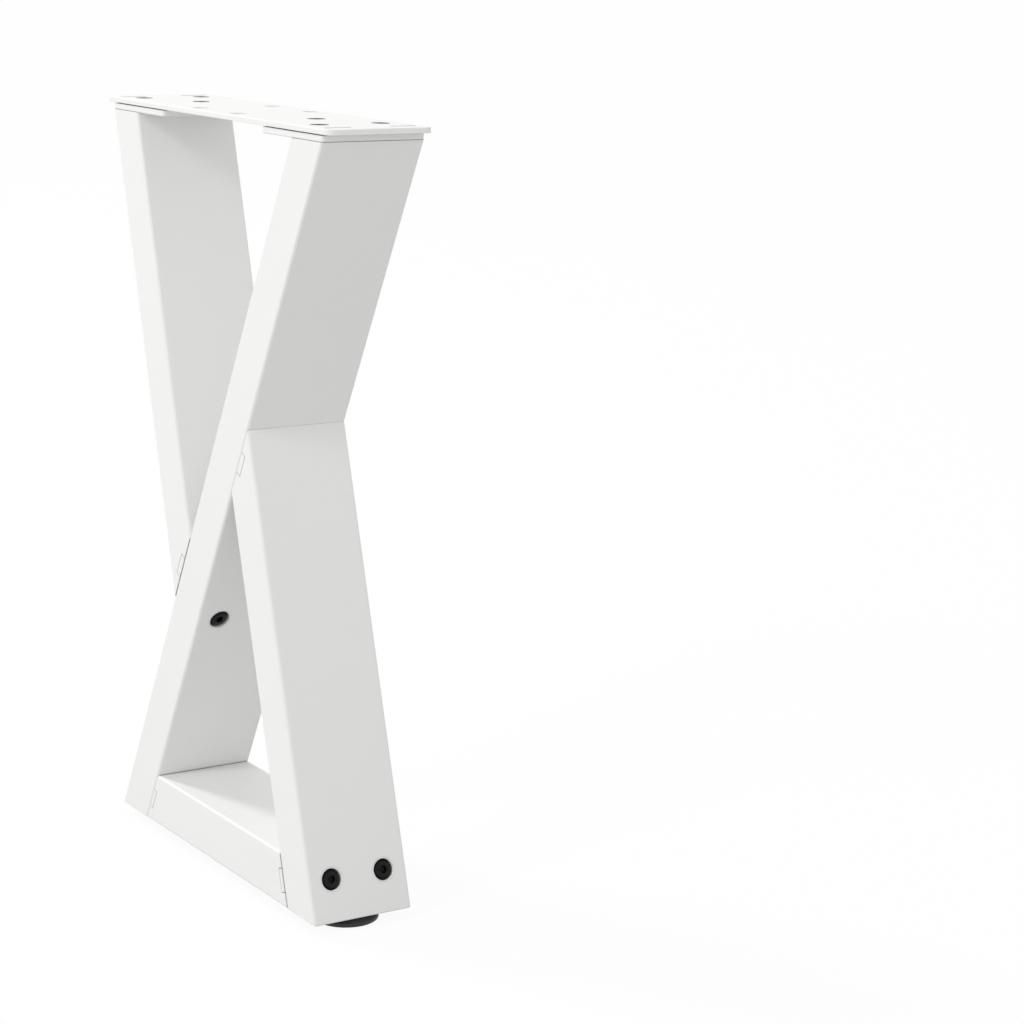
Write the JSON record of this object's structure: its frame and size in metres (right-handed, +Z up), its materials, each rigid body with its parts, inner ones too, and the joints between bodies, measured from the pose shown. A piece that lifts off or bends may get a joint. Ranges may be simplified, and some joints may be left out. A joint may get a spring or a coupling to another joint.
{
  "type": "x shaped table leg",
  "caption": "Crossed table leg of white rectangular steel tube: a long diagonal with shorter struts and a bottom bar bolted to it, under a drilled mounting plate, on levelling feet.",
  "frame": {"origin": "on the floor, under the centre of the top plate", "axes": "+X towards the end with the lower strut, along the leg's face; +Y towards the back; +Z up, towards the table top"},
  "size_m": [0.264, 0.061, 0.43],
  "materials": {
    "white_coat": "fine satin powder coat",
    "black_screw": "black oxide, slightly oiled",
    "zinc_steel": "bright zinc",
    "black_plastic": "moulded, fine grain"
  },
  "bodies": {
    "frame": {"bar_left_cups": "white_coat", "bar_left_nut_plate": "white_coat", "bar_left_screws": "black_screw", "bar_left_weld_nuts": "zinc_steel", "bar_right_cups": "white_coat", "bar_right_nut_plate": "white_coat", "bar_right_screws": "black_screw", "bar_right_weld_nuts": "zinc_steel", "bottom_bar": "white_coat", "left_foot_nut": "zinc_steel", "left_foot_plate": "white_coat", "left_mount_pad": "white_coat", "left_plate_screws": "black_screw", "long_diagonal": "white_coat", "lower_hook_plate": "white_coat", "lower_joint_cups": "white_coat", "lower_joint_screws": "black_screw", "lower_strut": "white_coat", "right_foot_nut": "zinc_steel", "right_foot_plate": "white_coat", "right_mount_pad": "white_coat", "right_plate_screws": "black_screw", "top_plate": "white_coat", "upper_hook_plate": "white_coat", "upper_joint_cups": "white_coat", "upper_joint_screws": "black_screw", "upper_strut": "white_coat"},
    "left_foot": {"left_foot_stud": "zinc_steel", "left_foot_base": "black_plastic"},
    "right_foot": {"right_foot_stud": "zinc_steel", "right_foot_base": "black_plastic"}
  },
  "joints": [
    {"name": "left_foot_screw", "type": "slide", "parent": "frame", "child": "left_foot", "axis": [0, 0, -1], "range_m": [0, 0.01]},
    {"name": "right_foot_screw", "type": "slide", "parent": "frame", "child": "right_foot", "axis": [0, 0, -1], "range_m": [0, 0.01]}
  ]
}
